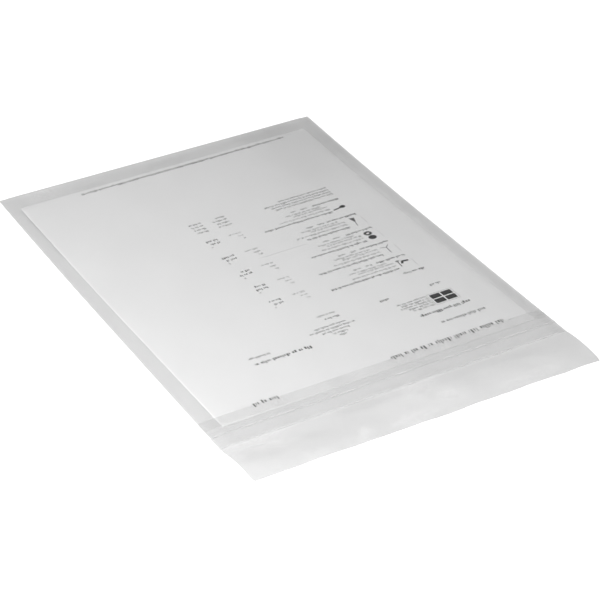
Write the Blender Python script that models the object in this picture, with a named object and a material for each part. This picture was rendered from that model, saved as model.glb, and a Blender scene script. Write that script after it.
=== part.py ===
"""A clear poly bag with an open flap and a peel-off closure, holding one sheet of paper.

Metres, +Z up. X runs across the bag, +Y points to its closed end and the flap lies towards -Y.
A place on the bag is given as x, from its left side, and s, from its closed end.
"""

import math

import bmesh
import bpy

# The sheet of paper, a little askew in the bag
PAGE_WIDTH = 0.2159
PAGE_LENGTH = 0.2794
PAGE_THICKNESS = 0.0001
PAGE_TURN = math.radians(0.5)

# The room around the sheet, which sets the size of the bag's body
LEFT_MARGIN = 0.0089
RIGHT_MARGIN = 0.0112
END_MARGIN = 0.0155
MOUTH_MARGIN = 0.0181

# The film, folded at the closed end and welded along both sides
FILM_THICKNESS = 0.00005
SIDE_WELD = 0.0012
END_FOLD = 0.0006
SEAM_EASE = 0.005

# The flap, which is the back panel running on past the mouth
FLAP_LENGTH = 0.037
FLAP_TAPER = 0.0012
FLAP_TAPER_RUN = 0.010

# The closure strip on the front panel: adhesive under a wider release liner
LINER_WIDTH = 0.0165
LINER_THICKNESS = 0.00005
LINER_TO_MOUTH = 0.011
ADHESIVE_WIDTH = 0.0085
ADHESIVE_THICKNESS = 0.00005
STRIP_SIDE_INSET = 0.0002

# How the bag lies: curled up at its closed end, with a low lip and a waved flap
CURL_LIFT = 0.003
CURL_LENGTH = 0.150
CURL_POWER = 1.7
LIP_LIFT = 0.0009
LIP_RUN = 0.063
TIP_LIFT = 0.0012
FLAP_CREST = 0.001
FLAP_WAVE = 0.0005
FLAP_WAVE_LENGTH = 0.130

# The gap between pieces that lie on each other
CLEARANCE = 0.0003

# How finely the sheets are divided
COLUMN_STEP = 0.016
ROW_STEP = 0.010
EASE_PARTS = 3
FLAP_PARTS = 6

# Worked out from the sizes above
BAG_WIDTH = LEFT_MARGIN + PAGE_WIDTH + RIGHT_MARGIN
BODY_LENGTH = END_MARGIN + PAGE_LENGTH + MOUTH_MARGIN
BAG_LENGTH = BODY_LENGTH + FLAP_LENGTH
POCKET_HEIGHT = PAGE_THICKNESS + 2.0 * CLEARANCE
LINER_END = BODY_LENGTH - LINER_TO_MOUTH
LINER_START = LINER_END - LINER_WIDTH
ADHESIVE_END = LINER_START + ADHESIVE_WIDTH


def smooth(t):
    """Rises from 0 to 1 with level ends as t goes from 0 to 1."""
    t = min(max(t, 0.0), 1.0)
    return t * t * (3.0 - 2.0 * t)


def underside(x, s):
    """Height of the bag's underside above the table."""
    curl = CURL_LIFT * max(0.0, 1.0 - s / CURL_LENGTH) ** CURL_POWER
    lip = LIP_LIFT * smooth((s - BODY_LENGTH + LIP_RUN) / LIP_RUN)
    past = min(max(0.0, (s - BODY_LENGTH) / FLAP_LENGTH), 1.0)
    crest = FLAP_CREST + FLAP_WAVE * math.sin(2.0 * math.pi * x / FLAP_WAVE_LENGTH)
    flap = (TIP_LIFT - LIP_LIFT) * past + crest * math.sin(math.pi * past)
    return curl + lip + flap


def pocket(x, s):
    """Height of the space between the panels: none at the seams, and full a little way in."""
    inward = min(x - SIDE_WELD, BAG_WIDTH - SIDE_WELD - x, s - END_FOLD)
    return POCKET_HEIGHT * smooth(inward / SEAM_EASE)


def back_inside(x, s):
    return underside(x, s) + FILM_THICKNESS


def front_inside(x, s):
    return back_inside(x, s) + pocket(x, s)


def front_outside(x, s):
    return front_inside(x, s) + FILM_THICKNESS


def place(x, s, height):
    """A point in space, with the flap drawn in a little at its sides."""
    narrowed = FLAP_TAPER * smooth((s - BODY_LENGTH) / FLAP_TAPER_RUN)
    across = (x - BAG_WIDTH / 2.0) * (1.0 - 2.0 * narrowed / BAG_WIDTH)
    return (across, BAG_LENGTH / 2.0 - s, height)


def divide(start, end, step=None, parts=None):
    """Evenly spaced places after start, up to and with end."""
    parts = parts or max(1, math.ceil((end - start) / step))
    return [start + (end - start) * k / parts for k in range(1, parts)] + [end]


def bag_columns():
    """Places across the bag: edge, weld, easing into the pocket, and the same from the other side."""
    ease_end = SIDE_WELD + SEAM_EASE
    half = [0.0, SIDE_WELD] + divide(SIDE_WELD, ease_end, parts=EASE_PARTS)
    middle = divide(ease_end, BAG_WIDTH - ease_end, step=COLUMN_STEP)[:-1]
    return half + middle + [BAG_WIDTH - x for x in reversed(half)]


def body_rows():
    """Places along the bag's body, from the closed end to the mouth."""
    ease_end = END_FOLD + SEAM_EASE
    rows = [0.0, END_FOLD] + divide(END_FOLD, ease_end, parts=EASE_PARTS)
    for start, end in ((ease_end, CURL_LENGTH), (CURL_LENGTH, BODY_LENGTH - LIP_RUN),
                       (BODY_LENGTH - LIP_RUN, LINER_START), (LINER_START, ADHESIVE_END),
                       (ADHESIVE_END, LINER_END), (LINER_END, BODY_LENGTH)):
        rows += divide(start, end, step=ROW_STEP)
    return rows


def flap_rows():
    """Places along the flap, past the mouth."""
    taper_end = BODY_LENGTH + FLAP_TAPER_RUN
    return divide(BODY_LENGTH, taper_end, parts=FLAP_PARTS // 2) + divide(taper_end, BAG_LENGTH, parts=FLAP_PARTS)


def add_layer(bm, columns, rows, height):
    """A list of rows of vertices, at the given height over each place."""
    return [[bm.verts.new(place(x, s, height(x, s))) for x in columns] for s in rows]


def add_faces(bm, layer):
    """Faces between the neighbouring vertices of a layer."""
    for near, far in zip(layer, layer[1:]):
        add_band(bm, near, far)


def add_band(bm, first, second):
    """Faces between two lines of vertices, which may share some of them."""
    for a, b, c, d in zip(first, first[1:], second[1:], second):
        corners = list(dict.fromkeys((a, b, c, d)))
        if len(corners) > 2:
            bm.faces.new(corners)


def rim(layer):
    """The vertices round the edge of a layer, in order, ending where they start."""
    right = [row[-1] for row in layer[1:-1]]
    left = [row[0] for row in layer[-2:0:-1]]
    return layer[0] + right + layer[-1][::-1] + left + [layer[0][0]]


def make_object(name, bm, colour, roughness, alpha=1.0):
    """Turns a bmesh into a named object with a plain material of its own."""
    bmesh.ops.recalc_face_normals(bm, faces=bm.faces)
    mesh = bpy.data.meshes.new(name)
    bm.to_mesh(mesh)
    bm.free()
    mesh.shade_smooth()
    mesh.set_sharp_from_angle(angle=math.radians(30.0))
    material = bpy.data.materials.new(name)
    material.use_nodes = True
    shader = material.node_tree.nodes["Principled BSDF"]
    shader.inputs["Base Color"].default_value = (*colour, 1.0)
    shader.inputs["Roughness"].default_value = roughness
    shader.inputs["Metallic"].default_value = 0.0
    shader.inputs["Alpha"].default_value = alpha
    mesh.materials.append(material)
    piece = bpy.data.objects.new(name, mesh)
    bpy.context.scene.collection.objects.link(piece)
    return piece


def make_sheet(name, columns, rows, bottom, thickness, **finish):
    """A closed sheet that follows the height given for its lower face."""
    bm = bmesh.new()
    lower = add_layer(bm, columns, rows, bottom)
    upper = add_layer(bm, columns, rows, lambda x, s: bottom(x, s) + thickness)
    add_faces(bm, lower)
    add_faces(bm, upper)
    add_band(bm, rim(lower), rim(upper))
    return make_object(name, bm, **finish)


def make_bag_film():
    """The bag: one film, folded at the closed end and welded at the sides, with its back running on as a flap."""
    columns = bag_columns()
    body = body_rows()
    flap = flap_rows()
    bm = bmesh.new()
    outer_back = add_layer(bm, columns, body + flap, underside)
    outer_front = add_layer(bm, columns, body, front_outside)
    flap_face = add_layer(bm, columns, [BODY_LENGTH] + flap, back_inside)
    inner_back = add_layer(bm, columns[1:-1], body[1:-1], back_inside) + [flap_face[0][1:-1]]
    inner_front = add_inner_front(bm, columns[1:-1], body[1:], inner_back)
    for layer in (outer_back, outer_front, flap_face, inner_back, inner_front):
        add_faces(bm, layer)
    add_band(bm, outer_front[-1], flap_face[0][:1] + inner_front[-1] + flap_face[0][-1:])
    add_band(bm, outer_back[0], outer_front[0])
    add_band(bm, outer_back[-1], flap_face[-1])
    for side in (0, -1):
        seam = [row[side] for row in outer_front] + [row[side] for row in flap_face]
        edge = [row[side] for row in outer_back]
        edge.insert(len(body), edge[len(body) - 1])
        add_band(bm, edge, seam)
    return make_object("bag_film", bm, colour=(0.86, 0.88, 0.89), roughness=0.15, alpha=0.3)


def add_inner_front(bm, columns, rows, inner_back):
    """The front panel's inner face, which meets the back panel's along the welds and the fold."""
    layer = [list(inner_back[0])]
    for s, back_row in zip(rows[1:], inner_back[1:]):
        middle = [bm.verts.new(place(x, s, front_inside(x, s))) for x in columns[1:-1]]
        layer.append([back_row[0]] + middle + [back_row[-1]])
    return layer


def strip_columns():
    """The bag's own columns, drawn in a hair from its edges, so that a strip runs level over the film."""
    return [STRIP_SIDE_INSET] + bag_columns()[1:-1] + [BAG_WIDTH - STRIP_SIDE_INSET]


def over_front(x, s):
    """Height at which the adhesive lies over the front panel."""
    return front_outside(x, s) + CLEARANCE


def over_adhesive(x, s):
    """Height at which the liner lies over the adhesive."""
    return over_front(x, s) + ADHESIVE_THICKNESS + CLEARANCE


def strip_rows(end):
    """The bag's own rows under a strip that starts where the liner does."""
    return [s for s in body_rows() if LINER_START <= s <= end]


def make_adhesive_strip():
    return make_sheet("adhesive_strip", strip_columns(), strip_rows(ADHESIVE_END), over_front, ADHESIVE_THICKNESS,
                      colour=(0.74, 0.75, 0.76), roughness=0.35, alpha=0.5)


def make_release_liner():
    return make_sheet("release_liner", strip_columns(), strip_rows(LINER_END), over_adhesive, LINER_THICKNESS,
                      colour=(0.9, 0.91, 0.92), roughness=0.2, alpha=0.4)


def make_page():
    """The sheet of paper in the pocket, turned slightly about the corner at the closed end's left."""
    bm = bmesh.new()
    across = [0.0] + divide(0.0, PAGE_WIDTH, step=COLUMN_STEP)
    along = [0.0] + divide(0.0, PAGE_LENGTH, step=ROW_STEP)
    layers = []
    for lift in (CLEARANCE, CLEARANCE + PAGE_THICKNESS):
        layer = []
        for v in along:
            spots = [(LEFT_MARGIN + u * math.cos(PAGE_TURN) + v * math.sin(PAGE_TURN),
                      END_MARGIN - u * math.sin(PAGE_TURN) + v * math.cos(PAGE_TURN)) for u in across]
            layer.append([bm.verts.new(place(x, s, back_inside(x, s) + lift)) for x, s in spots])
        layers.append(layer)
    for layer in layers:
        add_faces(bm, layer)
    add_band(bm, rim(layers[0]), rim(layers[1]))
    return make_object("page", bm, colour=(0.85, 0.86, 0.87), roughness=0.9)


def clear_scene():
    for item in list(bpy.context.scene.objects):
        bpy.data.objects.remove(item, do_unlink=True)


def main():
    clear_scene()
    make_bag_film()
    make_adhesive_strip()
    make_release_liner()
    make_page()


main()
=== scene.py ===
"""The looks of a clear poly bag that lies open-flapped with a printed sheet inside.

Metres, +Z up, in the frame's own axes. A place on the bag is x, from its left side, and s, from its closed
end. A place on the sheet of paper is u, from its left edge, and v, from its far edge.
"""

import math
import random

import bmesh
import bpy
import numpy as np
from mathutils import Matrix, Vector, geometry


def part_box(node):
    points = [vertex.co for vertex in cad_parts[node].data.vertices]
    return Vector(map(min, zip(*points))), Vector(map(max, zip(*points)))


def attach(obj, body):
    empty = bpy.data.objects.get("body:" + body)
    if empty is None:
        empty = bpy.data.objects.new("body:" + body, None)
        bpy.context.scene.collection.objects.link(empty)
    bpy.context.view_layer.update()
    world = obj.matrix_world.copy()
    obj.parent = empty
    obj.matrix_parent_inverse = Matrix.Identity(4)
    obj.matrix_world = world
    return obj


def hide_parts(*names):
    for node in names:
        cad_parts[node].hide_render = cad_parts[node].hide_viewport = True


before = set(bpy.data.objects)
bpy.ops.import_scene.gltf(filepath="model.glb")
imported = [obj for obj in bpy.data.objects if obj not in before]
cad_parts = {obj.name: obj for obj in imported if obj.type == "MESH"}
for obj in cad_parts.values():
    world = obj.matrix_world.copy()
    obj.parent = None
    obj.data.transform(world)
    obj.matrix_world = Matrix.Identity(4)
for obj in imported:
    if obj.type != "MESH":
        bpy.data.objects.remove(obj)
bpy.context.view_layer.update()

MM = 0.001

# Sizes taken from the frame
film_low, film_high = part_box("bag_film")
liner_low, liner_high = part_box("release_liner")
adhesive_low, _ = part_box("adhesive_strip")
BAG_WIDTH = film_high.x - film_low.x
BAG_LENGTH = film_high.y - film_low.y
LINER_START = film_high.y - liner_high.y
LINER_END = film_high.y - liner_low.y
ADHESIVE_END = film_high.y - adhesive_low.y

# The sheet of paper and where it lies in the bag
PAGE_WIDTH = 215.9 * MM
PAGE_LENGTH = 279.4 * MM
PAGE_THICKNESS = 0.1 * MM
PAGE_TURN = math.radians(0.5)
PAGE_LEFT = 8.9 * MM
PAGE_FAR = 15.5 * MM
PAGE_ROOM = 0.015 * MM
PAGE_BOW = 0.18 * MM
PAGE_BOW_RUN = 0.9 * MM
PAGE_SOFT_BOW = 5.0
PAGE_EDGE_SLANT = 0.1 * MM
# Width of the band along the sheet's left edge that gets a painted highlight
PAINTED_HIGHLIGHT_BAND = 0.7 * MM

# The bag's film
BODY_LENGTH = 313.0 * MM
FLAP_LENGTH = BAG_LENGTH - BODY_LENGTH
FLAP_TAPER = 1.2 * MM
FLAP_TAPER_RUN = 32.0 * MM
TIP_TAPER = 0.9 * MM
TIP_TAPER_RUN = 7.0 * MM
FILM_THICKNESS = 0.05 * MM
SIDE_WELD = 1.2 * MM
SEAM_EASE = 7.0 * MM
FOLD_RADIUS = 0.30 * MM

# How far the flap's cut end is from straight, and its waves: share, reach and phase
TIP_UNEVEN = 0.5 * MM
TIP_WAVES = ((1.0, 7.3 * MM, 0.0), (0.6, 2.9 * MM, 1.0), (0.4, 1.3 * MM, 0.0))

# How the bag lies
CURL_LIFT = 3.0 * MM
CURL_LENGTH = 150.0 * MM
CURL_POWER = 1.7
LIP_LIFT = 0.04 * MM
LIP_RUN = 63.0 * MM
TIP_LIFT = 1.2 * MM
FLAP_CREST = 1.0 * MM
FLAP_WAVE = 0.5 * MM
FLAP_WAVE_LENGTH = 130.0 * MM
FLAP_RIGHT_RISE = 0.9 * MM
FLAP_RIGHT_START = 0.82
FLAP_RIGHT_RUN = 0.18
TIP_LEFT_RISE = 0.9 * MM
TIP_LEFT_FALL = 2.5
FLAP_RIPPLE = 0.42 * MM
RIPPLE_RISE = 2.5

# Creases of the flap: share, reach, slant, phase, then reach and phase of their swell across the bag
FLAP_WAVES = ((1.0, 13.0 * MM, 3.0, 0.4, 47.0 * MM, 1.2), (0.6, 7.3 * MM, -2.4, 1.9, 29.0 * MM, 2.6))

# Single straight creases: height, x at the mouth, x at the tip, and reach to each side
FLAP_RIDGES = ((0.20 * MM, 22.0 * MM, 76.0 * MM, 13.0 * MM), (0.40 * MM, 112.0 * MM, 138.0 * MM, 11.0 * MM),
               (0.30 * MM, 158.0 * MM, 146.0 * MM, 9.0 * MM), (0.35 * MM, 188.0 * MM, 226.0 * MM, 14.0 * MM))
CORNER_DROOP = 0.4 * MM
CORNER_RUN = 12.0 * MM
CORNER_START = 0.66

# How the front panel swells over the sheet, puckers at the seams and opens at the mouth
PANEL_SLACK = 0.06 * MM
SLACK_LEVEL = 1.5
SWELL_ACROSS = 31.0 * MM
SWELL_ALONG = 43.0 * MM
SWELL_SWAY = 57.0 * MM
SWELL_SWAY_SHARE = 0.8
SWELL_PHASE = 0.6
FINE_SHARE = 0.4
FINE_ACROSS = (8.0 * MM, 23.0 * MM)
FINE_ALONG = (11.0 * MM, 37.0 * MM)
SEAM_PUCKER = 0.05 * MM
PUCKER_RUN = 7.0 * MM
PUCKER_PITCH = 19.0 * MM
PUCKER_SWAY = 27.0 * MM
PUCKER_SWAY_SHARE = 1.5
LIP_OPEN = 0.3 * MM
LIP_OPEN_RUN = 9.0 * MM
LIP_LONG_WAVE = 17.0 * MM
LIP_LONG_SHARE = 0.4
LIP_SHORT_WAVE = 6.1 * MM
LIP_SHORT_SHARE = 0.3
LIP_SHORT_PHASE = 1.0
LIP_SWELL = 41.0 * MM

# How finely the film and the strips are divided, and the sheet, whose steps are in millimetres
WELD_STEP = 0.4 * MM
SEAM_STEP = 0.8 * MM
FILM_STEP = 2.4 * MM
FLAP_STEP = 1.6 * MM
STRIP_STEP = 1.2 * MM
FOLD_STEPS = 5
PAGE_STEP_ACROSS = 9.0
PAGE_STEP_ALONG = 8.0
BOW_STEPS = 3.0
SOFT_BOW_STEPS = 6.0
SAME_PLACE = 1e-6
SAME_CORNER = 1e-4
INSIDE_ONLY = 1
SHARP_ANGLE = math.radians(40.0)

# Painted shading of the film in millimetres: x and s of the middle, half sizes, turn in degrees, and how
# pale (highlight) or dark (shade)
FLAP_PAINTED_SHADING = ((20.0, 316.5, 24.0, 10.0, 8.0, 0.8), (18.0, 331.0, 30.0, 9.0, 0.0, -0.22),
              (92.0, 317.0, 34.0, 9.0, -6.0, -0.26), (127.0, 319.5, 15.0, 9.0, 25.0, 0.8),
              (138.0, 334.0, 8.0, 6.0, 0.0, 0.5), (176.0, 319.0, 44.0, 10.0, -4.0, -0.12),
              (75.0, 342.0, 9.0, 5.0, 40.0, 0.26), (46.0, 345.0, 20.0, 7.0, 0.0, 0.15),
              (108.0, 343.0, 16.0, 6.0, 0.0, 0.4), (188.0, 342.0, 22.0, 6.0, 0.0, 0.3),
              (48.0, 336.0, 74.0, 22.0, 0.0, -0.2))
BODY_PAINTED_SHADING = ((206.0, 42.0, 56.0, 86.0, -12.0, -0.19), (190.0, 5.0, 50.0, 11.0, 0.0, -0.17),
              (120.0, 10.0, 46.0, 9.0, 0.0, -0.13), (62.0, 13.0, 22.0, 6.0, 0.0, -0.1),
              (30.0, 6.0, 16.0, 5.0, 0.0, 0.2))
# How much milk the painted shading ovals add, how their rims waver, and the milk of painted shade and
# painted highlights
PAINTED_SHADING_SHARE = 0.12
PAINTED_SHADING_GAIN = 2.0
PAINTED_SHADING_RIM_SCALE = 70.0
PAINTED_SHADING_RIM_SHIFT = 12.0 * MM
PAINTED_SHADE_MILK = 0.25
PAINTED_HIGHLIGHT_MILK = 1.0

# Looks of the film
FILM_BUMP = 0.05 * MM
FILM_BUMP_SCALE = 90.0
FILM_BUMP_STRETCH = (1.0, 0.6, 1.0)
MILK_STRETCH = (1.0, 0.5, 1.0)
SLANT_POWER = 4.0
SLANT_GAIN = 20.0
TRANSPARENT_BOUNCES = 32

# Looks of the paper and the inks, from the palest ink to the darkest
PAPER_DARK = 0.89
PAPER_LIGHT = 0.95
# Paler paper for a painted highlight along the sheet's left edge
PAINTED_HIGHLIGHT_PAPER_DARK = 0.96
PAINTED_HIGHLIGHT_PAPER_LIGHT = 0.99
PAPER_ROUGHNESS = 0.85
PAPER_GLOSS = 0.2
PAPER_TRANSLUCENCE = 0.08
FIBRE_SCALE = 900.0
FIBRE_BUMP = 0.02 * MM
CLOUD_SCALE = 25.0
INKS = ("paper", "pale", "grey", "dark", "black", "solid")
INK_LEVELS = (0.42, 0.28, 0.12, 0.06, 0.02)
INK_SPREAD = 0.2
INK_ROUGHNESS = 0.6

# The print's small upright marks, as shares of the size of their line
MARK_WIDTHS = (0.7, 1.0, 1.2, 1.6)
MARK_GAPS = (0.27, 0.42)
WORD_GAP = 0.6
TALL_MARKS_OVER = 0.64
TALL_TOP = 1.05
SMALL_TOPS = (0.4, 0.55)
DEEP_MARKS_UNDER = 0.1
DEEP_BOTTOM = 0.9
SMALL_BOTTOM = 0.5

# The closure strip
LINER_THICKNESS = 0.05 * MM
ADHESIVE_THICKNESS = 0.05 * MM
STRIP_ROOM = 0.03 * MM
STRIP_SIDE_GAP = 0.2 * MM
CUT_EDGE = 0.6 * MM
LINER_EDGE_LIFT = 0.35 * MM

# The camera, as the photograph was taken
CAMERA_AIM = (-3.3 * MM, -26.9 * MM, 0.0)
CAMERA_AZIMUTH = math.radians(-29.42)
CAMERA_ELEVATION = math.radians(32.83)
CAMERA_ROLL = math.radians(-0.54)
CAMERA_DISTANCE = 1.316
CAMERA_LENS = 128.0
CAMERA_SENSOR = 36.0
CAMERA_NEAR = 0.01

# The floor lies a hair under the bag, so that the two never share a surface
FLOOR_DROP = 0.02 * MM
FLOOR_SIZE = 8.0
FLOOR_COLOUR = 0.68
FLOOR_GLOW = 0.77
FLOOR_GLOW_THROUGH_FILM = 0.18

# The room's light by height over the horizon in degrees: pale walls, a dim band over them, a pale ceiling
ROOM = ((0.0, 0.42), (13.0, 0.38), (22.0, 0.18), (48.0, 0.41), (90.0, 0.41))

# The one lamp, a soft square that the film doesn't mirror
LAMP_PLACE = (-0.385, -0.205, 0.5)
LAMP_AIM = (0.0, 0.0, 0.0)
LAMP_SIZE = 0.6
LAMP_POWER = 4.5


def smooth(t):
    """Rises from 0 to 1 with level ends as t goes from 0 to 1."""
    t = np.clip(t, 0.0, 1.0)
    return t * t * (3.0 - 2.0 * t)


def underside(x, s):
    """Height of the bag's underside above the table."""
    curl = CURL_LIFT * np.maximum(0.0, 1.0 - s / CURL_LENGTH) ** CURL_POWER
    lip = LIP_LIFT * smooth((s - BODY_LENGTH + LIP_RUN) / LIP_RUN)
    past = np.clip((s - BODY_LENGTH) / FLAP_LENGTH, 0.0, 1.0)
    crest = FLAP_CREST + FLAP_WAVE * np.sin(2.0 * math.pi * x / FLAP_WAVE_LENGTH)
    to_right = (x - FLAP_RIGHT_START * BAG_WIDTH) / (FLAP_RIGHT_RUN * BAG_WIDTH)
    crest = crest + FLAP_RIGHT_RISE * smooth(to_right)
    tip = TIP_LIFT - LIP_LIFT + TIP_LEFT_RISE * smooth(1.0 - TIP_LEFT_FALL * x / BAG_WIDTH)
    flap = tip * past + crest * np.sin(math.pi * past) + flap_ripple(x, past)
    return np.maximum(0.0, curl + lip + flap - corner_droop(x, past))


def flap_ripple(x, past):
    """Soft diagonal creases of the open flap, which die out where it leaves the mouth."""
    waves = sum(share * np.sin(x / reach + slant * past + phase) * np.sin(x / swell + swell_phase)
                for share, reach, slant, phase, swell, swell_phase in FLAP_WAVES)
    ridges = sum(height * ridge(x, past, *line) for height, *line in FLAP_RIDGES)
    return (FLAP_RIPPLE * waves + ridges) * smooth(RIPPLE_RISE * past)


def ridge(x, past, start, end, reach):
    """A straight crease from start at the mouth to end at the tip, that falls off to its sides."""
    away = np.abs(x - start - (end - start) * past) / reach
    return np.maximum(0.0, 1.0 - away)


def corner_droop(x, past):
    """The flap's free corners hang back down to the table."""
    from_side = np.minimum(x, BAG_WIDTH - x)
    near_tip = smooth((past - CORNER_START) / (1.0 - CORNER_START))
    return CORNER_DROOP * np.exp(-(from_side / CORNER_RUN) ** 2) * near_tip


def pocket(x, s):
    """Height of the space between the panels, from nothing at the seams to room for the sheet."""
    side = np.minimum(x - SIDE_WELD, BAG_WIDTH - SIDE_WELD - x)
    fold = 2.0 * (FOLD_RADIUS - FILM_THICKNESS) * np.sqrt(np.clip(s / FOLD_RADIUS, 0.0, 1.0))
    full = PAGE_THICKNESS + 2.0 * PAGE_ROOM + slack(x, s)
    room = np.maximum(full * smooth(np.minimum(side, s) / SEAM_EASE), fold * smooth(side / SEAM_EASE))
    return np.where(side <= 0.0, 0.0, room)


def slack(x, s):
    """How far the front panel stands off the sheet: swells, puckers at the side seams and an open lip."""
    sway = SWELL_SWAY_SHARE * np.sin(s / SWELL_SWAY)
    swell = np.sin(x / SWELL_ACROSS + sway) * np.sin(s / SWELL_ALONG + SWELL_PHASE)
    fine = FINE_SHARE * np.sin(x / FINE_ACROSS[0] + s / FINE_ACROSS[1])
    fine = fine * np.sin(s / FINE_ALONG[0] - x / FINE_ALONG[1])
    from_seam = np.minimum(x, BAG_WIDTH - x) - SIDE_WELD - SEAM_EASE
    near_seam = np.exp(-(from_seam / PUCKER_RUN) ** 2)
    turn = 2.0 * math.pi * s / PUCKER_PITCH + PUCKER_SWAY_SHARE * np.sin(s / PUCKER_SWAY)
    pucker = SEAM_PUCKER * near_seam * (1.0 + np.sin(turn))
    short = LIP_SHORT_SHARE * np.sin(x / LIP_SHORT_WAVE + LIP_SHORT_PHASE) * np.sin(x / LIP_SWELL)
    wave = 1.0 + LIP_LONG_SHARE * np.sin(x / LIP_LONG_WAVE) + short
    lip = LIP_OPEN * smooth((s - BODY_LENGTH + LIP_OPEN_RUN) / LIP_OPEN_RUN) * wave
    return PAGE_BOW + PANEL_SLACK * (SLACK_LEVEL + swell + fine) + pucker + lip


def place(x, s, height):
    """Points in space, with the flap drawn in a little at its sides and its cut end not quite straight."""
    tip = np.clip((s - BAG_LENGTH + TIP_TAPER_RUN) / TIP_TAPER_RUN, 0.0, 1.0)
    narrowed = FLAP_TAPER * smooth((s - BODY_LENGTH) / FLAP_TAPER_RUN) + TIP_TAPER * tip ** 2
    across = (x - BAG_WIDTH / 2.0) * (1.0 - 2.0 * narrowed / BAG_WIDTH)
    uneven = sum(share * (1.0 + np.sin(x / reach + phase)) for share, reach, phase in TIP_WAVES)
    most = 2.0 * sum(share for share, _, _ in TIP_WAVES)
    along = film_high.y - s + TIP_UNEVEN * tip ** 2 * uneven / most
    return np.stack(np.broadcast_arrays(across, along, height), axis=-1)


def divide(start, end, step):
    """Evenly spaced places from start up to and with end, no further apart than step."""
    return np.linspace(start, end, max(1, math.ceil((end - start) / step)) + 1)


def join_places(*runs):
    """Runs of places as one, without doubled ends."""
    return np.unique(np.round(np.concatenate(runs), 7))


class Shell:
    """Gathers layers of points and the faces between them into one mesh."""

    def __init__(self):
        self.points = []
        self.faces = []

    def layer(self, columns, rows, height):
        """Adds a grid of points over the given places and returns their numbers."""
        x, s = np.meshgrid(columns, rows)
        return self.grid(place(x, s, height(x, s)))

    def grid(self, points):
        """Adds a grid of ready points and returns their numbers."""
        start = len(self.points)
        self.points.extend(points.reshape(-1, 3).tolist())
        return np.arange(start, len(self.points)).reshape(points.shape[:2])

    def fill(self, layer):
        """Adds the faces of a whole layer."""
        for first, second in zip(layer, layer[1:]):
            self.band(first, second)

    def band(self, first, second):
        """Adds the faces between two rows, without corners that fall together."""
        for a, b, c, d in zip(first, first[1:], second[1:], second):
            corners = list(dict.fromkeys((int(a), int(b), int(c), int(d))))
            if len(corners) > 2:
                self.faces.append(corners)

    def make(self, name):
        """The object that holds what was gathered."""
        mesh = bpy.data.meshes.new(name)
        mesh.from_pydata(self.points, [], self.faces)
        return finish_mesh(name, mesh)


def finish_mesh(name, mesh):
    """Faces outwards, smooth shading, and an object that holds the mesh."""
    bm = bmesh.new()
    bm.from_mesh(mesh)
    loose = [v for v in bm.verts if not v.link_faces]
    bmesh.ops.delete(bm, geom=loose, context="VERTS")
    bmesh.ops.recalc_face_normals(bm, faces=bm.faces)
    bm.to_mesh(mesh)
    bm.free()
    mesh.shade_smooth()
    mesh.set_sharp_from_angle(angle=SHARP_ANGLE)
    piece = bpy.data.objects.new(name, mesh)
    bpy.context.scene.collection.objects.link(piece)
    return piece


def mark_faces(piece, inside, index):
    """Gives another material to the faces whose middle passes the test on x and s."""
    for face in piece.data.polygons:
        if inside(face.center.x + BAG_WIDTH / 2.0, film_high.y - face.center.y):
            face.material_index = index


def rim(layer):
    """The numbers round the edge of a layer, in order, ending where they start."""
    return np.concatenate([layer[0], layer[1:-1, -1], layer[-1, ::-1], layer[-2:0:-1, 0], layer[0, :1]])


def back_inside(x, s):
    """Height of the back panel's inner face."""
    return underside(x, s) + FILM_THICKNESS


def front_inside(x, s):
    """Height of the front panel's inner face."""
    return back_inside(x, s) + pocket(x, s)


def front_outside(x, s):
    """Height of the front panel's outer face."""
    return front_inside(x, s) + FILM_THICKNESS


def film_columns():
    """Places across the bag, closest together in the side welds."""
    ease = SIDE_WELD + SEAM_EASE
    left = join_places(divide(0.0, SIDE_WELD, WELD_STEP), divide(SIDE_WELD, ease, SEAM_STEP))
    return join_places(left, divide(ease, BAG_WIDTH - ease, FILM_STEP), BAG_WIDTH - left)


def film_body_rows():
    """Places along the body, closest together round the fold."""
    fold = FOLD_RADIUS * (1.0 - np.cos(np.linspace(0.0, math.pi / 2.0, FOLD_STEPS + 1)))
    body = divide(SEAM_EASE, BODY_LENGTH - CUT_EDGE, FILM_STEP)
    return join_places(fold, divide(FOLD_RADIUS, SEAM_EASE, SEAM_STEP), body, [BODY_LENGTH])


def is_welded(x, s):
    """Whether a place is in a side weld or in the fold of the closed end."""
    return s < BODY_LENGTH and min(x, BAG_WIDTH - x) < SIDE_WELD or s < FOLD_RADIUS


def is_cut(x, s):
    """Whether a place is at the cut end of the flap or of the front panel."""
    return s > BAG_LENGTH - 2.0 * CUT_EDGE or BODY_LENGTH - CUT_EDGE < s < BODY_LENGTH


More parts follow.
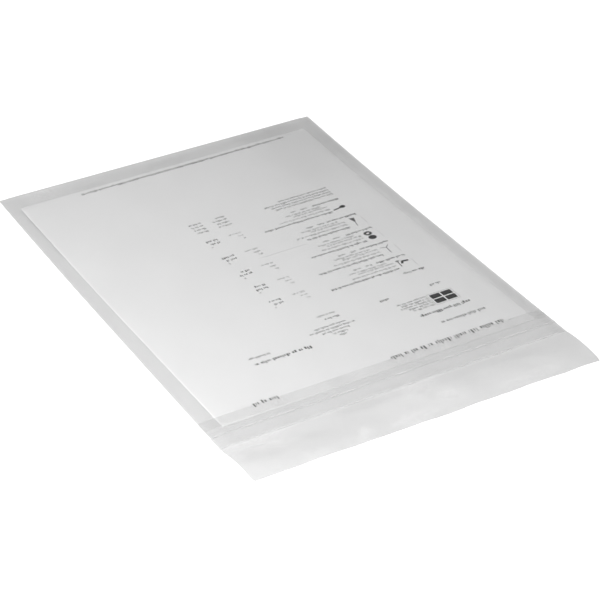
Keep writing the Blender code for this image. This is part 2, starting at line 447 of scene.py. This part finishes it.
def make_film():
    """The bag in one film: folded at its closed end, welded at its sides, and open, with a flap."""
    columns = film_columns()
    body = film_body_rows()
    flap = join_places(divide(BODY_LENGTH, BAG_LENGTH - CUT_EDGE, FLAP_STEP), [BAG_LENGTH])
    shell = Shell()
    weld = int(np.searchsorted(columns, SIDE_WELD - SAME_PLACE))
    inside = slice(weld, len(columns) - weld)
    outer_back = shell.layer(columns, np.concatenate([body, flap[1:]]), underside)
    outer_front = shell.layer(columns, body, front_outside)
    flap_face = shell.layer(columns, flap, back_inside)
    inner_back = shell.layer(columns[inside], body[1:-1], back_inside)
    inner_back = np.vstack([inner_back, flap_face[0, inside]])
    inner_front = shell.layer(columns[inside], body[1:], front_inside)
    inner_front[:, [0, -1]] = inner_back[:, [0, -1]]
    inner_front[0] = inner_back[0]
    for layer in (outer_back, outer_front, flap_face, inner_back, inner_front):
        shell.fill(layer)
    lip = np.concatenate([flap_face[0, :weld], inner_front[-1], flap_face[0, len(columns) - weld:]])
    shell.band(outer_front[-1], lip)
    shell.band(outer_back[0], outer_front[0])
    shell.band(outer_back[-1], flap_face[-1])
    for side in (0, -1):
        edge = np.insert(outer_back[:, side], len(body), outer_back[len(body) - 1, side])
        shell.band(edge, np.concatenate([outer_front[:, side], flap_face[:, side]]))
    piece = shell.make("clear_film")
    mark_faces(piece, is_welded, 1)
    mark_faces(piece, lambda x, s: s > BODY_LENGTH, 2)
    # The cut ends get milky, dashed film: painted glints
    mark_faces(piece, is_cut, 3)
    return piece


def make_strip(name, start, end, bottom, thickness):
    """A closed strip that lies over the front panel."""
    shell = Shell()
    columns = np.clip(film_columns(), STRIP_SIDE_GAP, BAG_WIDTH - STRIP_SIDE_GAP)
    rows = join_places(divide(start, end - CUT_EDGE, STRIP_STEP), [end])
    lower = shell.layer(columns, rows, bottom)
    upper = shell.layer(columns, rows, lambda x, s: bottom(x, s) + thickness)
    shell.fill(lower)
    shell.fill(upper)
    shell.band(rim(lower), rim(upper))
    piece = shell.make(name)
    # The band at the strip's free end gets the second material, which on the liner is bright milky dashes:
    # painted glints
    mark_faces(piece, lambda x, s: s > end - CUT_EDGE, 1)
    return piece


def adhesive_bottom(x, s):
    """Height of the adhesive's lower face."""
    return front_outside(x, s) + STRIP_ROOM


def liner_bottom(x, s):
    """The liner lies on the adhesive, and its free edge stands up a little."""
    free = smooth((s - ADHESIVE_END) / (LINER_END - ADHESIVE_END))
    return adhesive_bottom(x, s) + ADHESIVE_THICKNESS + STRIP_ROOM + LINER_EDGE_LIFT * free ** 2


# The print, in plain marks and shapes: u and v in millimetres on the sheet

class Print:
    """Gathers the marks on the sheet, each an outline in millimetres and the ink it has."""

    def __init__(self):
        self.random = random.Random(7)
        self.marks = []

    def box(self, u0, v0, u1, v1, ink):
        """An upright rectangle from corner to corner."""
        self.marks.append(([(u0, v0), (u1, v0), (u1, v1), (u0, v1)], ink))

    def outline(self, corners, ink):
        """Any flat shape, by its corners in order."""
        self.marks.append((list(corners), ink))

    def bar(self, u0, v0, u1, v1, width, ink):
        """A straight bar of the given width from one place to another."""
        length = math.hypot(u1 - u0, v1 - v0)
        du = (v1 - v0) / length * width / 2.0
        dv = (u0 - u1) / length * width / 2.0
        self.outline(((u0 + du, v0 + dv), (u1 + du, v1 + dv), (u1 - du, v1 - dv), (u0 - du, v0 - dv)), ink)

    def disc(self, u, v, radius_u, radius_v, ink, sides=14):
        """A filled round or oval."""
        turns = [2.0 * math.pi * k / sides for k in range(sides)]
        self.outline([(u + radius_u * math.cos(t), v + radius_v * math.sin(t)) for t in turns], ink)

    def ring(self, u, v, radius_u, radius_v, width, ink, sides=12):
        """An open ring, as short bars round its middle line."""
        for k in range(sides):
            a, b = 2.0 * math.pi * k / sides, 2.0 * math.pi * (k + 1) / sides
            self.bar(u + radius_u * math.cos(a), v + radius_v * math.sin(a),
                     u + radius_u * math.cos(b), v + radius_v * math.sin(b), width, ink)

    def line(self, v, u0, u1, size, ink, words=8, weight=0.3):
        """A line of small upright marks in groups. It starts at u1, since the sheet is upside down."""
        u = u1
        while u - size > u0:
            for _ in range(self.random.randint(2, words)):
                width = size * weight * self.random.choice(MARK_WIDTHS)
                if u - width < u0:
                    break
                reach = self.random.random()
                top = size * (TALL_TOP if reach > TALL_MARKS_OVER else self.random.uniform(*SMALL_TOPS))
                bottom = size * (DEEP_BOTTOM if reach < DEEP_MARKS_UNDER else SMALL_BOTTOM)
                self.box(u - width, v - bottom, u, v + top, ink)
                u -= width + size * self.random.uniform(*MARK_GAPS)
            u -= WORD_GAP * size


def item_rows(sheet, top, title_left, narrow):
    """One item of the list: heading, three small lines, a bold title, and figures in two columns."""
    sheet.line(top, 166.0, 187.8, 1.35, "black", weight=0.42)
    sheet.line(top, 158.5, 163.6, 1.2, "dark")
    sheet.line(top, 150.0, 155.4, 1.2, "dark")
    for drop, left, right in ((3.3, 145.0, 172.0), (5.7, 150.0, 176.0), (9.0, narrow, 176.0)):
        sheet.line(top + drop, left, right, 1.2, "grey", words=9)
    sheet.line(top + 12.9, title_left, 176.0, 1.45, "black", words=8, weight=0.36)
    for drop in (4.8, 8.6):
        sheet.line(top + drop, 85.4, 94.2, 1.4, "black", words=4, weight=0.42)
    sheet.line(top + 12.4, 85.3, 87.4, 1.0, "dark", words=2)
    for drop, left in ((4.6, 102.5), (8.4, 106.5), (12.1, 108.5)):
        sheet.line(top + drop, left, 111.4, 1.1, "grey")


def small_pictures(sheet):
    """Small plain shapes beside the list."""
    sheet.bar(177.8, 105.2, 184.0, 104.2, 1.3, "black")
    sheet.disc(185.2, 103.8, 2.1, 1.7, "solid")
    sheet.outline(((180.4, 119.2), (184.2, 119.9), (182.9, 124.6), (182.0, 124.8)), "dark")
    sheet.bar(182.3, 124.4, 181.3, 129.8, 0.45, "dark")
    sheet.ring(181.6, 141.5, 2.1, 1.8, 1.7, "solid")
    sheet.disc(181.9, 147.0, 2.9, 2.5, "solid")
    sheet.bar(178.9, 161.0, 182.8, 162.4, 0.5, "dark")
    sheet.bar(182.6, 162.4, 185.4, 159.8, 0.5, "dark")
    sheet.bar(182.7, 162.0, 182.3, 169.2, 0.55, "dark")
    sheet.bar(181.0, 184.2, 182.4, 181.5, 1.5, "solid")
    sheet.bar(181.9, 181.6, 186.6, 182.4, 1.7, "solid")
    sheet.disc(179.6, 180.3, 1.5, 0.9, "grey")
    sheet.bar(179.4, 180.6, 179.0, 187.0, 0.7, "dark")


def lay_out_print():
    """The layout of a plain order sheet, from its far edge to its near one."""
    sheet = Print()
    sheet.line(4.2, 42.0, 197.2, 1.5, "black", words=12, weight=0.34)
    for v, left in ((77.3, 151.0), (80.3, 139.0), (83.2, 142.0), (86.1, 143.0)):
        sheet.line(v, left, 188.0, 1.15, "dark", words=9)
    for k, v in enumerate((75.0, 78.6, 82.2, 85.9)):
        sheet.line(v, 85.5, 94.2, 1.3, "dark" if k else "black", words=5, weight=0.3 if k else 0.42)
        sheet.line(v, (105.0, 101.5, 102.5, 101.5)[k], 111.7, 1.2, "dark")
    for top, title_left, narrow in ((93.4, 123.0, 138.0), (115.8, 142.0, 136.5), (136.0, 133.0, 145.0),
                                    (155.8, 129.0, 142.0), (175.3, 125.0, 142.0)):
        item_rows(sheet, top, title_left, narrow)
    small_pictures(sheet)
    sheet.bar(106.0, 132.4, 141.0, 132.4, 0.2, "pale")
    for near in (129.5, 150.5, 170.5, 190.5):
        sheet.bar(188.9, near - 9.0, 188.9, near, 0.2, "pale")
    sheet.line(195.0, 174.5, 190.0, 1.7, "black", words=5, weight=0.34)
    for v, left, right, ink in ((209.8, 101.7, 115.4, "grey"), (214.3, 105.0, 115.6, "black"),
                                (214.5, 143.0, 151.6, "black"), (214.3, 180.0, 189.6, "black")):
        sheet.line(v, left, right, 1.4, ink, words=6, weight=0.34)
    for v, left, right in ((221.6, 94.0, 116.0), (224.6, 88.5, 121.0), (227.6, 96.0, 115.0),
                           (230.6, 102.0, 112.0), (233.5, 103.5, 109.7)):
        sheet.line(v, left, right, 1.25, "dark", words=9)
    for k in range(5):
        sheet.line(224.3 + 2.5 * k, 150.0 + (1.0, 3.0, 0.0, 4.0, 7.0)[k], 172.5, 1.15, "dark")
    block_of_colour(sheet)
    sheet.line(228.5, 44.5, 59.3, 1.3, "dark")
    sheet.line(235.2, 44.0, 84.0, 1.9, "black", weight=0.36)
    sheet.line(241.5, 155.5, 193.6, 1.9, "solid", words=5, weight=0.36)
    sheet.line(253.4, 162.5, 196.6, 2.0, "black", words=6, weight=0.28)
    sheet.line(270.2, 117.0, 198.6, 2.6, "solid", words=7, weight=0.25)
    sheet.line(269.9, 21.5, 41.2, 2.4, "solid", words=4, weight=0.25)
    sheet.disc(202.3, 271.8, 0.5, 0.5, "dark", sides=6)
    sheet.disc(32.5, 89.5, 0.35, 0.35, "grey", sides=6)
    sheet.disc(61.0, 125.5, 0.3, 0.8, "pale", sides=6)
    return sheet.marks


def block_of_colour(sheet):
    """Four plain dark tiles in a thin frame."""
    left, far, right, near = 174.6, 224.4, 189.8, 234.4
    joint = 0.9
    half_width, half_length = (right - left - joint) / 2.0, (near - far - joint) / 2.0
    for u in (left, right - half_width):
        for v in (far, near - half_length):
            sheet.box(u, v, u + half_width, v + half_length, "solid")
    rule, gap = 0.25, 1.0
    for edge in (far - gap - rule, near + gap):
        sheet.box(left - gap, edge, right + gap, edge + rule, "grey")
    for edge in (left - gap - rule, right + gap):
        sheet.box(edge, far - gap, edge + rule, near + gap, "grey")


def page_place(u, v):
    """x and s on the bag of a place on the sheet."""
    x = PAGE_LEFT + u * math.cos(PAGE_TURN) + v * math.sin(PAGE_TURN)
    return x, PAGE_FAR - u * math.sin(PAGE_TURN) + v * math.cos(PAGE_TURN)


def page_grid():
    """Places across and along the sheet in millimetres, closest together where it bends at its edges."""
    width, length = PAGE_WIDTH / MM, PAGE_LENGTH / MM
    run = PAGE_BOW_RUN / MM
    soft = run * PAGE_SOFT_BOW
    across = join_places([PAINTED_HIGHLIGHT_BAND / MM], divide(0.0, run, run / BOW_STEPS),
                         divide(run, width - soft, PAGE_STEP_ACROSS),
                         divide(width - soft, width, soft / SOFT_BOW_STEPS))
    along = join_places(divide(0.0, soft, soft / SOFT_BOW_STEPS),
                        divide(soft, length - run, PAGE_STEP_ALONG),
                        divide(length - run, length, run / BOW_STEPS))
    return across, along


def divide_page():
    """The sheet's face cut along the outlines of the print: u and v in metres, triangles, their inks."""
    across, along = page_grid()
    marks = lay_out_print()
    points = [(u, v) for v in along for u in across]
    faces = [[0, len(across) - 1, len(points) - 1, len(points) - len(across)]]
    for outline, _ in marks:
        faces.append(list(range(len(points), len(points) + len(outline))))
        points.extend(outline)
    flat, _, triangles, _, _, sources = geometry.delaunay_2d_cdt(
        [Vector(p) for p in points], [], faces, INSIDE_ONLY, SAME_CORNER, True)
    inks = [INKS.index(marks[max(found) - 1][1]) if max(found) > 0 else 0 for found in sources]
    return np.array([tuple(p) for p in flat]) * MM, triangles, inks


def page_bottom(uv):
    """Height of the sheet's lower face, which bows up from the back panel away from the sheet's edges."""
    from_side = np.minimum(uv[:, 0], (PAGE_WIDTH - uv[:, 0]) / PAGE_SOFT_BOW)
    from_edge = np.minimum(from_side, np.minimum(uv[:, 1] / PAGE_SOFT_BOW, PAGE_LENGTH - uv[:, 1]))
    x, s = page_place(uv[:, 0], uv[:, 1])
    return back_inside(x, s) + PAGE_ROOM + PAGE_BOW * smooth(from_edge / PAGE_BOW_RUN)


def page_points(uv):
    """The points of the sheet's upper face, then of its lower one, which reaches out a little further."""
    lower = page_bottom(uv)
    middle = np.array((PAGE_WIDTH, PAGE_LENGTH)) / 2.0
    at_edge = np.abs(uv - middle) > middle - SAME_PLACE
    foot = uv + PAGE_EDGE_SLANT * np.sign(uv - middle) * at_edge
    upper_points = place(*page_place(uv[:, 0], uv[:, 1]), lower + PAGE_THICKNESS)
    lower_points = place(*page_place(foot[:, 0], foot[:, 1]), lower)
    return np.vstack([upper_points, lower_points]).tolist()


def make_page():
    """The sheet of paper as one closed solid, with the print in its upper face."""
    uv, triangles, inks = divide_page()
    count = len(uv)
    tops = [list(t) for t in triangles]
    bottoms = [[i + count for i in reversed(t)] for t in triangles]
    walls = [[a, a + count, b + count, b] for a, b in boundary_edges(triangles)]
    mesh = bpy.data.meshes.new("printed_sheet")
    mesh.from_pydata(page_points(uv), [], tops + bottoms + walls)
    mesh.polygons.foreach_set("material_index", inks + [0] * (len(bottoms) + len(walls)))
    piece = finish_mesh("printed_sheet", mesh)
    # Paler paper along the sheet's left edge: a painted highlight
    mark_faces(piece, lambda x, s: x < page_place(PAINTED_HIGHLIGHT_BAND, s - PAGE_FAR)[0], len(INKS))
    return piece


def boundary_edges(triangles):
    """The edges that only one triangle has, each in that triangle's own direction."""
    edges = {(a, b) for t in triangles for a, b in zip(t, list(t[1:]) + [t[0]])}
    return [e for e in edges if (e[1], e[0]) not in edges]


# Materials

def new_material(name):
    """A material with nothing but its output."""
    material = bpy.data.materials.new(name)
    material.use_nodes = True
    material.node_tree.nodes.clear()
    output = material.node_tree.nodes.new("ShaderNodeOutputMaterial")
    return material, material.node_tree, output


def grey(level):
    """A neutral colour."""
    return (level, level, level, 1.0)


def feed(tree, socket, source):
    """Gives an input a link or a value."""
    if isinstance(source, bpy.types.NodeSocket):
        tree.links.new(source, socket)
    else:
        socket.default_value = source


def add_node(tree, kind, **sources):
    """A node with its inputs fed by name; a name with spaces is written with underscores."""
    node = tree.nodes.new(kind)
    for name, source in sources.items():
        feed(tree, node.inputs[name.replace("_", " ")], source)
    return node


def add_math(tree, operation, *sources):
    """A math node fed by links or numbers."""
    node = tree.nodes.new("ShaderNodeMath")
    node.operation = operation
    for socket, source in zip(node.inputs, sources):
        feed(tree, socket, source)
    return node.outputs[0]


def mix_shaders(tree, share, first, second):
    """The first shader, and as much of the second as the share says."""
    mix = tree.nodes.new("ShaderNodeMixShader")
    for socket, source in zip(mix.inputs, (share, first.outputs[0], second.outputs[0])):
        feed(tree, socket, source)
    return mix


def object_place(tree):
    """The object's own place, in metres."""
    return tree.nodes.new("ShaderNodeTexCoord").outputs["Object"]


def place_noise(tree, scale, detail, stretch=(1.0, 1.0, 1.0)):
    """Noise over the object's own place."""
    mapping = add_node(tree, "ShaderNodeMapping", Vector=object_place(tree), Scale=stretch)
    noise = add_node(tree, "ShaderNodeTexNoise", Vector=mapping.outputs[0], Scale=scale, Detail=detail)
    return noise.outputs["Fac"]


def add_bump(tree, height, distance, strength=1.0):
    """The normal of a surface with small bumps."""
    bump = add_node(tree, "ShaderNodeBump", Height=height, Strength=strength, Distance=distance)
    return bump.outputs["Normal"]


def painted_shading_oval(tree, spot, x, s, half_across, half_along, turn):
    """A soft oval of painted shading, 1 well inside and fading to 0 at its rim."""
    oval = tree.nodes.new("ShaderNodeMapping")
    oval.vector_type = "TEXTURE"
    across = x * MM - BAG_WIDTH / 2.0 + PAINTED_SHADING_RIM_SHIFT / 2.0
    along = film_high.y - s * MM + PAINTED_SHADING_RIM_SHIFT / 2.0
    feed(tree, oval.inputs["Vector"], spot)
    feed(tree, oval.inputs["Location"], (across, along, 0.0))
    feed(tree, oval.inputs["Rotation"], (0.0, 0.0, math.radians(turn)))
    feed(tree, oval.inputs["Scale"], (half_across * MM, half_along * MM, 1.0))
    fade = add_node(tree, "ShaderNodeTexGradient", Vector=oval.outputs[0])
    fade.gradient_type = "QUADRATIC_SPHERE"
    level = add_math(tree, "MULTIPLY", fade.outputs["Fac"], PAINTED_SHADING_GAIN)
    level.node.use_clamp = True
    return level


def painted_shading(tree, shading_ovals):
    """The sum of the film's painted highlights (over 0) and painted shade (under 0), each a soft oval with
    an uneven rim.
    """
    spot = object_place(tree)
    uneven = add_node(tree, "ShaderNodeTexNoise", Vector=spot, Scale=PAINTED_SHADING_RIM_SCALE, Detail=3.0)
    shifted = tree.nodes.new("ShaderNodeVectorMath")
    shifted.operation = "MULTIPLY_ADD"
    shift = (PAINTED_SHADING_RIM_SHIFT, PAINTED_SHADING_RIM_SHIFT, 0.0)
    for socket, source in zip(shifted.inputs, (uneven.outputs["Color"], shift, spot)):
        feed(tree, socket, source)
    total = 0.0
    for *oval, amount in shading_ovals:
        level = painted_shading_oval(tree, shifted.outputs[0], *oval)
        total = add_math(tree, "ADD", total, add_math(tree, "MULTIPLY", level, amount))
    return total


def film_sheen(tree, mirror, roughness):
    """The clear part of the film, which passes light and mirrors more at a slant."""
    bumps = place_noise(tree, FILM_BUMP_SCALE, 3.0, FILM_BUMP_STRETCH)
    normal = add_bump(tree, bumps, FILM_BUMP)
    facing = add_node(tree, "ShaderNodeLayerWeight", Blend=0.5, Normal=normal)
    slant = add_math(tree, "POWER", facing.outputs["Facing"], SLANT_POWER)
    share = add_math(tree, "MULTIPLY_ADD", slant, SLANT_GAIN * mirror, mirror)
    clear = add_node(tree, "ShaderNodeBsdfTransparent", Color=grey(1.0))
    gloss = add_node(tree, "ShaderNodeBsdfGlossy", Color=grey(1.0), Roughness=roughness, Normal=normal)
    return mix_shaders(tree, share, clear, gloss)


def film_material(name, mirror, haze, roughness, milkiness=0.75, patch_scale=40.0, patch_contrast=1.0,
                  shading_ovals=()):
    """Clear film with a faint milkiness in uneven patches. Given shading ovals, it paints shade and
    highlights as dark and pale milk in them, and its other milk turns dark too.
    """
    material, tree, output = new_material(name)
    sheen = film_sheen(tree, mirror, roughness)
    milk = add_node(tree, "ShaderNodeBsdfDiffuse", Color=grey(milkiness))
    cloud = place_noise(tree, patch_scale, 5.0, MILK_STRETCH)
    patches = add_math(tree, "MULTIPLY_ADD", cloud, patch_contrast, 0.5 * (1.0 - patch_contrast))
    patches.node.use_clamp = True
    share = add_math(tree, "MULTIPLY", patches, 2.0 * haze)
    # Painted shading: thicker milk in every oval, pale for painted highlights, dark for painted shade and
    # everywhere else
    if shading_ovals:
        shading_sum = painted_shading(tree, shading_ovals)
        strength = add_math(tree, "MULTIPLY", add_math(tree, "ABSOLUTE", shading_sum), PAINTED_SHADING_SHARE)
        share = add_math(tree, "ADD", share, strength)
        pale = add_math(tree, "GREATER_THAN", shading_sum, 0.0)
        level = add_math(tree, "MULTIPLY_ADD", pale, PAINTED_HIGHLIGHT_MILK - PAINTED_SHADE_MILK, PAINTED_SHADE_MILK)
        feed(tree, milk.inputs["Color"], level)
    feed(tree, output.inputs["Surface"], mix_shaders(tree, share, sheen, milk).outputs[0])
    return material


def paper_material(name, dark, light, roughness=PAPER_ROUGHNESS):
    """Uncoated paper, or ink on it: fine fibre in its colour and surface."""
    material, tree, output = new_material(name)
    fibre = place_noise(tree, FIBRE_SCALE, 4.0)
    cloud = place_noise(tree, CLOUD_SCALE, 2.0)
    both = add_math(tree, "MULTIPLY_ADD", fibre, 0.5, add_math(tree, "MULTIPLY", cloud, 0.5))
    colour = tree.nodes.new("ShaderNodeMix")
    colour.data_type = "RGBA"
    feed(tree, colour.inputs["A"], grey(dark))
    feed(tree, colour.inputs["B"], grey(light))
    feed(tree, colour.inputs["Factor"], both)
    surface = add_node(tree, "ShaderNodeBsdfPrincipled", Base_Color=colour.outputs["Result"],
                       Roughness=roughness, Specular_IOR_Level=PAPER_GLOSS,
                       Normal=add_bump(tree, fibre, FIBRE_BUMP, 0.5))
    through = add_node(tree, "ShaderNodeBsdfTranslucent", Color=grey(light))
    sheet = mix_shaders(tree, PAPER_TRANSLUCENCE, surface, through)
    feed(tree, output.inputs["Surface"], sheet.outputs[0])
    return material


def page_materials():
    """Paper, then the inks in the order of INKS, then paler paper for a painted highlight along the sheet's
    left edge.
    """
    paper = paper_material("paper", PAPER_DARK, PAPER_LIGHT)
    inks = [paper_material("ink_" + name, level * (1.0 - INK_SPREAD), level * (1.0 + INK_SPREAD),
                           INK_ROUGHNESS)
            for name, level in zip(INKS[1:], INK_LEVELS)]
    return [paper] + inks + [paper_material("paper_painted_highlight", PAINTED_HIGHLIGHT_PAPER_DARK, PAINTED_HIGHLIGHT_PAPER_LIGHT)]


# Stage, light and camera

def floor_material():
    """Lit grey, with a glow for views and mirrors that is weaker through the bag. From below it is clear."""
    material, tree, output = new_material("floor")
    path = tree.nodes.new("ShaderNodeLightPath")
    seen = add_math(tree, "MAXIMUM", path.outputs["Is Camera Ray"], path.outputs["Is Glossy Ray"])
    seen = add_math(tree, "MAXIMUM", seen, path.outputs["Is Transmission Ray"])
    through = add_math(tree, "GREATER_THAN", path.outputs["Transparent Depth"], 0.5)
    level = add_math(tree, "MULTIPLY_ADD", through, FLOOR_GLOW_THROUGH_FILM - FLOOR_GLOW, FLOOR_GLOW)
    lit = add_node(tree, "ShaderNodeBsdfDiffuse", Color=grey(FLOOR_COLOUR))
    strength = add_math(tree, "MULTIPLY", seen, level)
    glow = add_node(tree, "ShaderNodeEmission", Color=grey(1.0), Strength=strength)
    both = tree.nodes.new("ShaderNodeAddShader")
    feed(tree, both.inputs[0], lit.outputs[0])
    feed(tree, both.inputs[1], glow.outputs[0])
    below = tree.nodes.new("ShaderNodeNewGeometry").outputs["Backfacing"]
    nothing = tree.nodes.new("ShaderNodeBsdfTransparent")
    feed(tree, output.inputs["Surface"], mix_shaders(tree, below, both, nothing).outputs[0])
    return material


def make_floor():
    """A pale floor, plain white by itself, and lit and shaded where it is seen through the bag."""
    half = FLOOR_SIZE / 2.0
    corners = [(x * half, y * half, -FLOOR_DROP) for x, y in ((-1, -1), (1, -1), (1, 1), (-1, 1))]
    mesh = bpy.data.meshes.new("floor")
    mesh.from_pydata(corners, [], [(0, 1, 2, 3)])
    floor = bpy.data.objects.new("floor", mesh)
    bpy.context.scene.collection.objects.link(floor)
    floor.data.materials.append(floor_material())


def make_world():
    """A soft grey room with a dim band over its walls, that the camera sees as white."""
    world = bpy.data.worlds.new("room")
    bpy.context.scene.world = world
    world.use_nodes = True
    tree = world.node_tree
    tree.nodes.clear()
    place_node = tree.nodes.new("ShaderNodeTexCoord")
    split = add_node(tree, "ShaderNodeSeparateXYZ", Vector=place_node.outputs["Generated"])
    rise = add_node(tree, "ShaderNodeValToRGB", Fac=split.outputs["Z"])
    rise.color_ramp.interpolation = "EASE"
    while len(rise.color_ramp.elements) < len(ROOM):
        rise.color_ramp.elements.new(0.5)
    for element, (angle, level) in zip(rise.color_ramp.elements, ROOM):
        element.position = math.sin(math.radians(angle))
        element.color = grey(level)
    path = tree.nodes.new("ShaderNodeLightPath")
    level = add_node(tree, "ShaderNodeMix", Factor=path.outputs["Is Camera Ray"], A=rise.outputs[0], B=1.0)
    background = add_node(tree, "ShaderNodeBackground", Color=grey(1.0), Strength=level.outputs["Result"])
    output = tree.nodes.new("ShaderNodeOutputWorld")
    feed(tree, output.inputs["Surface"], background.outputs[0])


def make_lamp():
    """The lamp, turned to its aim."""
    light = bpy.data.lights.new("key", "AREA")
    light.shape = "SQUARE"
    light.size = LAMP_SIZE
    light.energy = LAMP_POWER
    lamp = bpy.data.objects.new("key", light)
    bpy.context.scene.collection.objects.link(lamp)
    lamp.location = LAMP_PLACE
    lamp.rotation_mode = "QUATERNION"
    lamp.rotation_quaternion = (Vector(LAMP_AIM) - Vector(LAMP_PLACE)).to_track_quat("-Z", "Y")
    lamp.visible_glossy = False


def make_camera():
    """The camera, by its aim, direction, roll and distance."""
    camera = bpy.data.objects.new("camera", bpy.data.cameras.new("camera"))
    bpy.context.scene.collection.objects.link(camera)
    bpy.context.scene.camera = camera
    level = math.cos(CAMERA_ELEVATION)
    back = Vector((math.sin(CAMERA_AZIMUTH) * level, -math.cos(CAMERA_AZIMUTH) * level,
                   math.sin(CAMERA_ELEVATION)))
    turn = (-back).to_track_quat("-Z", "Y").to_matrix() @ Matrix.Rotation(CAMERA_ROLL, 3, "Z")
    camera.matrix_world = Matrix.Translation(Vector(CAMERA_AIM) + back * CAMERA_DISTANCE) @ turn.to_4x4()
    camera.data.lens = CAMERA_LENS
    camera.data.sensor_width = CAMERA_SENSOR
    camera.data.clip_start = CAMERA_NEAR


def dress(piece, node, slot, *materials):
    """Gives a piece its materials and puts it in its CAD node's place."""
    for material in materials:
        piece.data.materials.append(material)
    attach(piece, "root")
    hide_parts(node)


scene = bpy.context.scene
scene.view_settings.view_transform = "Standard"
scene.cycles.transparent_max_bounces = TRANSPARENT_BOUNCES

make_camera()
make_world()
make_floor()
make_lamp()

dress(make_film(), "bag_film", "film",
      # The body's and the flap's film carry painted shade and painted highlights in soft ovals
      film_material("clear_film", mirror=0.042, haze=0.010, roughness=0.12, shading_ovals=BODY_PAINTED_SHADING),
      film_material("welded_film", mirror=0.042, haze=0.035, roughness=0.2, milkiness=0.35),
      film_material("flap_film", mirror=0.042, haze=0.014, roughness=0.12, shading_ovals=FLAP_PAINTED_SHADING),
      # Bright milky dashes at the cut ends: painted glints
      film_material("cut_film_painted_glints", mirror=0.06, haze=0.09, roughness=0.3, milkiness=0.9,
                    patch_scale=110.0, patch_contrast=4.0))
dress(make_strip("glue_strip", LINER_START, ADHESIVE_END, adhesive_bottom, ADHESIVE_THICKNESS),
      "adhesive_strip", "adhesive",
      film_material("glue", mirror=0.004, haze=0.045, roughness=0.3, milkiness=0.5),
      film_material("glue_edge", mirror=0.004, haze=0.05, roughness=0.3, milkiness=0.5))
dress(make_strip("peel_strip", LINER_START, LINER_END, liner_bottom, LINER_THICKNESS),
      "release_liner", "liner",
      film_material("liner_film", mirror=0.012, haze=0.01, roughness=0.15),
      # Bright milky dashes along the liner's free edge: painted glints
      film_material("liner_edge_painted_glints", mirror=0.06, haze=0.26, roughness=0.3, milkiness=0.95,
                    patch_scale=120.0, patch_contrast=5.0))
dress(make_page(), "page", "paper", *page_materials())
